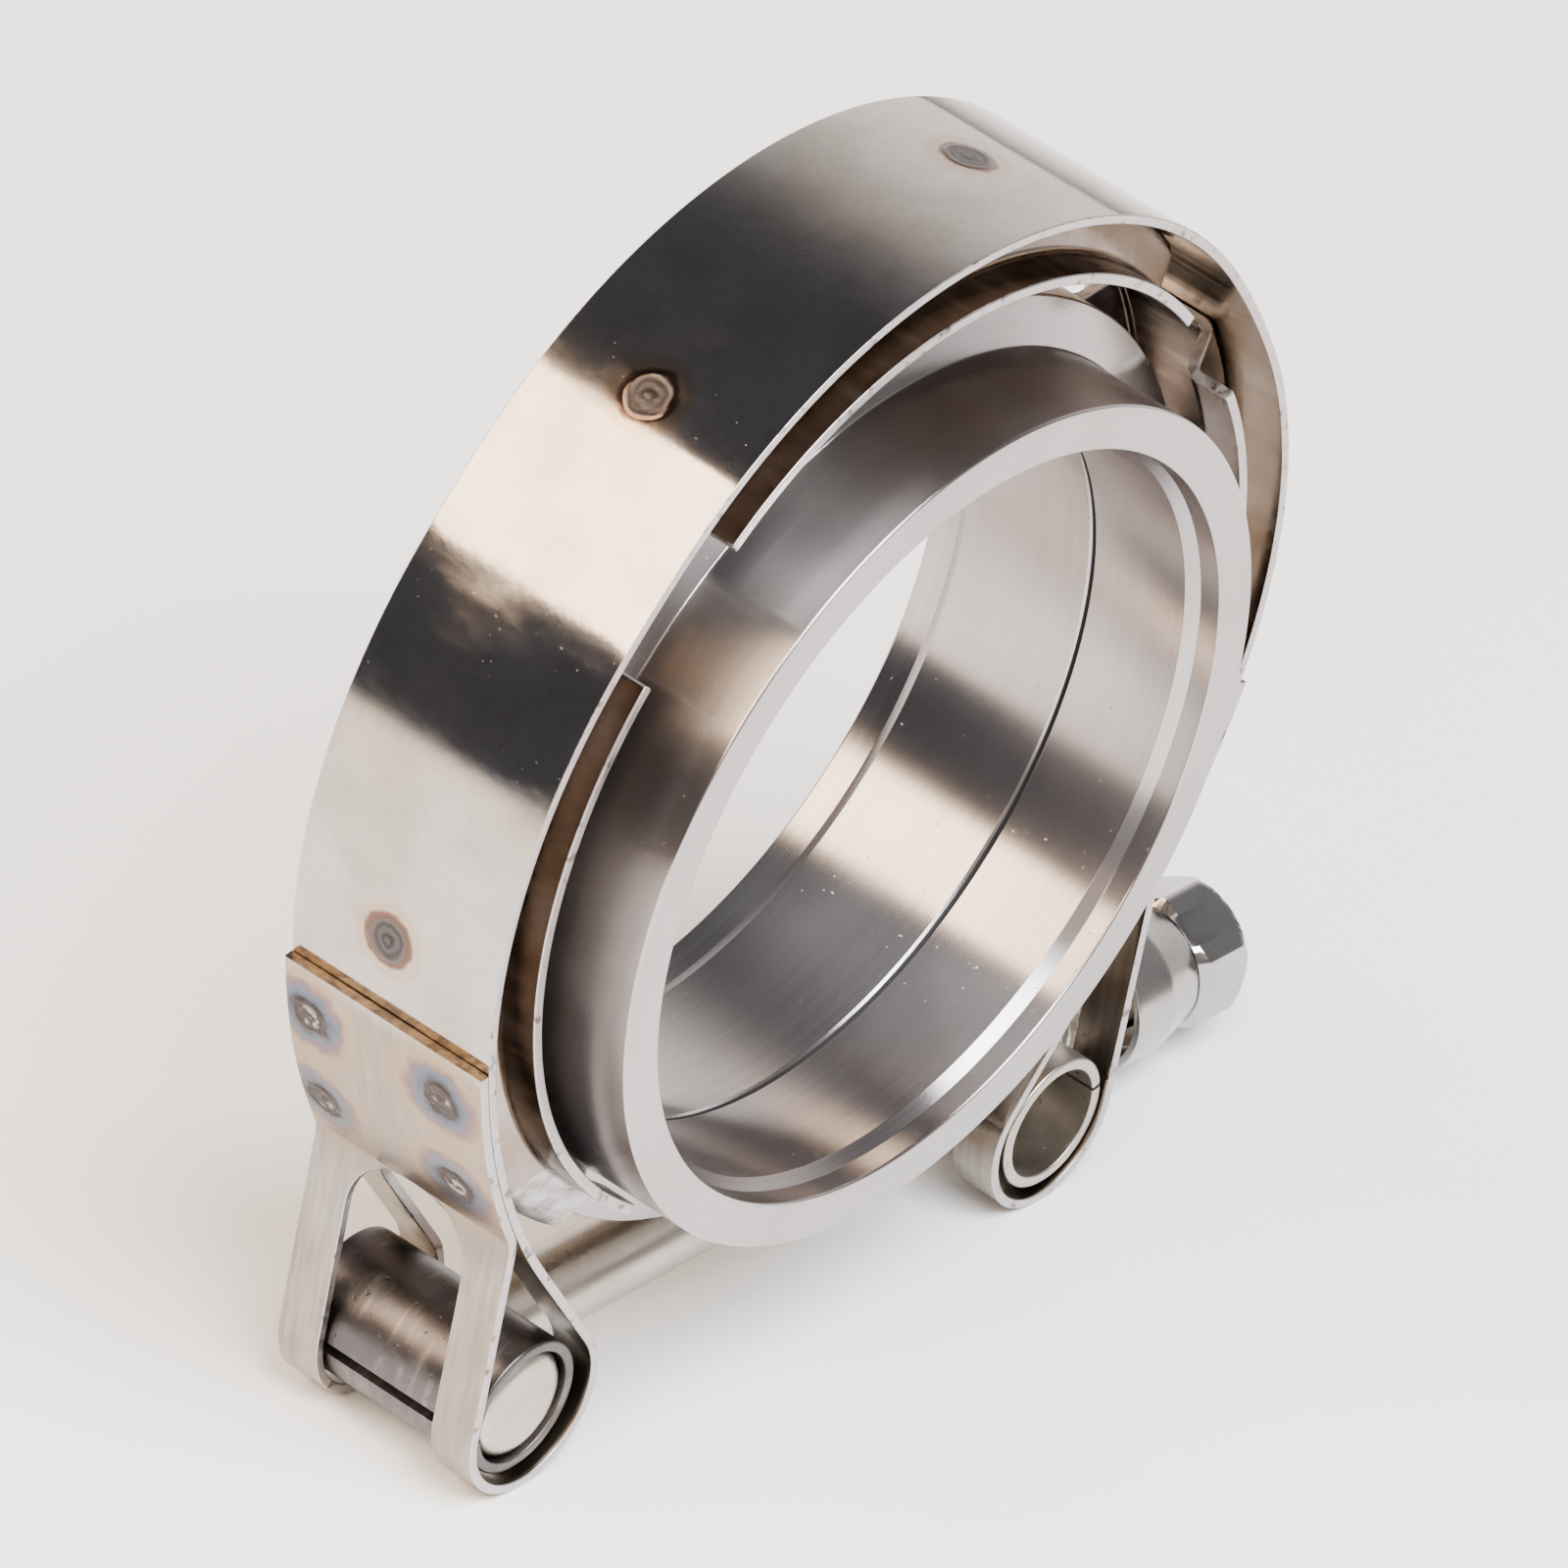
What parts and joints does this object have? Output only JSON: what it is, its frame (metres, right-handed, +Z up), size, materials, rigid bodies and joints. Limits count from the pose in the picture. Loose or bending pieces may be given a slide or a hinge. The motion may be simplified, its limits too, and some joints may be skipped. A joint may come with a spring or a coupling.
{
  "type": "v band clamp",
  "caption": "Quick-release V band clamp with a T bolt and lock nut round a pair of interlocking flanges for an exhaust pipe joint, shown loosened.",
  "frame": {"origin": "centre of the front flange's pipe socket, on its front face", "axes": "-Y out of the front pipe socket along the pipe axis, +X along the T bolt towards its nut, +Z up, away from the bolt"},
  "size_m": [0.1287, 0.0338, 0.1207],
  "materials": {
    "flange_steel": "fine turned, satin",
    "retainer_steel": "rolled bright sheet with rough cut ends",
    "band_steel": "polished sheet with heat tint at its welds",
    "bolt_steel": "warm plated",
    "sleeve_steel": "dull dark rolled steel with small pits",
    "tube_steel": "rolled sheet, satin",
    "thrust_steel": "turned, satin",
    "nut_steel": "bright, lightly worn"
  },
  "bodies": {
    "clamp": {"strap": "band_steel", "upper_retainer": "retainer_steel", "left_retainer": "retainer_steel", "right_retainer": "retainer_steel", "t_bolt": "bolt_steel", "t_head_sleeve": "sleeve_steel", "trunnion_tube": "tube_steel"},
    "front_flange": {"front_flange": "flange_steel"},
    "rear_flange": {"rear_flange": "flange_steel"},
    "thrust_sleeve": {"thrust_sleeve": "thrust_steel"},
    "lock_nut": {"lock_nut": "nut_steel"}
  },
  "joints": [
    {"name": "front_flange_turn", "type": "hinge", "parent": "clamp", "child": "front_flange", "pos_m": [0, 0, 0], "axis": [0, 1, 0], "continuous": true},
    {"name": "rear_flange_turn", "type": "hinge", "parent": "clamp", "child": "rear_flange", "pos_m": [0, 0.0338, 0], "axis": [0, 1, 0], "continuous": true},
    {"name": "nut_travel", "type": "slide", "parent": "clamp", "child": "thrust_sleeve", "axis": [1, 0, 0], "range_m": [-0.0092, 0]},
    {"name": "nut_turn", "type": "hinge", "parent": "thrust_sleeve", "child": "lock_nut", "pos_m": [0.07, 0.0181, -0.053], "axis": [1, 0, 0], "range_deg": [-2650, 0]}
  ],
  "couplings": [
    {"joint": "nut_travel", "follows": "nut_turn", "m_per_rad": 0.00019894}
  ]
}
